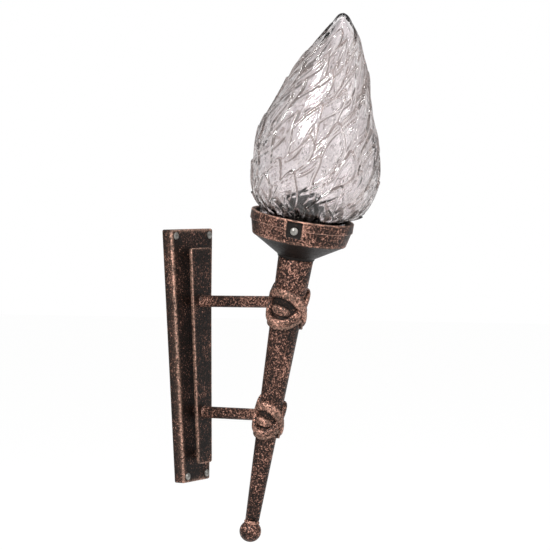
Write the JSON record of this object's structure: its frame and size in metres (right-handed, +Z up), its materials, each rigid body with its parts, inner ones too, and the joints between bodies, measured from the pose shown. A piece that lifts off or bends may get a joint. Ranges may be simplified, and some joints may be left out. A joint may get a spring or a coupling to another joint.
{
  "type": "torch sconce",
  "caption": "Wall light in the form of a tapered torch held off a tapered back plate by two arms, with a gallery cup and a clear glass flame.",
  "frame": {"origin": "on the wall plane, at the middle of the wall bracket's back face", "axes": "+Z up, +Y into the wall, the light stands out along -Y, the torch lies in the plane x = 0"},
  "size_m": [0.1389, 0.2433, 0.5618],
  "materials": {
    "aged_copper": "dark brown hammered base with copper dry-brush",
    "bright_zinc": "bright zinc plate",
    "plain_zinc": "plain zinc plate",
    "brass": "turned brass",
    "clear_glass": "clear pressed glass",
    "black_phenolic": "moulded phenolic",
    "porcelain": "glazed porcelain",
    "ivory_nylon": "moulded nylon",
    "brown_sheath": "wire insulation",
    "blue_sheath": "wire insulation",
    "green_sheath": "wire insulation"
  },
  "bodies": {
    "sconce": {"wall_bracket": "plain_zinc", "back_plate": "aged_copper", "plate_screws": "bright_zinc", "front_strap": "aged_copper", "strap_spacers": "aged_copper", "strap_screws": "plain_zinc", "upper_arm": "aged_copper", "lower_arm": "aged_copper", "arm_nipples": "brass", "arm_washers": "plain_zinc", "arm_nuts": "brass", "upper_collar": "aged_copper", "lower_collar": "aged_copper", "torch_tube": "aged_copper", "tube_plug": "brass", "ball_finial": "aged_copper", "top_bush": "brass", "centre_nipple": "brass", "gallery_cup": "aged_copper", "cup_washer": "plain_zinc", "cup_nut": "brass", "holder_cap": "black_phenolic", "holder_insert": "porcelain", "holder_body": "black_phenolic", "screw_shell": "brass", "centre_contact": "brass", "terminal_block": "ivory_nylon", "terminal_screws": "plain_zinc", "block_screw": "plain_zinc", "earth_washer": "plain_zinc", "earth_screw": "plain_zinc", "live_wire": "brown_sheath", "neutral_wire": "blue_sheath", "earth_wire": "green_sheath"},
    "glass_flame": {"glass_shade": "clear_glass"},
    "screw_1": {"gallery_screw_1": "bright_zinc"},
    "screw_2": {"gallery_screw_2": "bright_zinc"},
    "screw_3": {"gallery_screw_3": "bright_zinc"}
  },
  "joints": [
    {"name": "glass_lift", "type": "slide", "parent": "sconce", "child": "glass_flame", "axis": [0, -0.2164, 0.9763], "range_m": [0, 0.06]},
    {"name": "gallery_screw_1_travel", "type": "slide", "parent": "sconce", "child": "screw_1", "axis": [-0.8988, -0.428, -0.0949], "range_m": [0, 0.0035]},
    {"name": "gallery_screw_2_travel", "type": "slide", "parent": "sconce", "child": "screw_2", "axis": [0.829, -0.5459, -0.121], "range_m": [0, 0.0035]},
    {"name": "gallery_screw_3_travel", "type": "slide", "parent": "sconce", "child": "screw_3", "axis": [0.0698, 0.9739, 0.2159], "range_m": [0, 0.0035]}
  ]
}
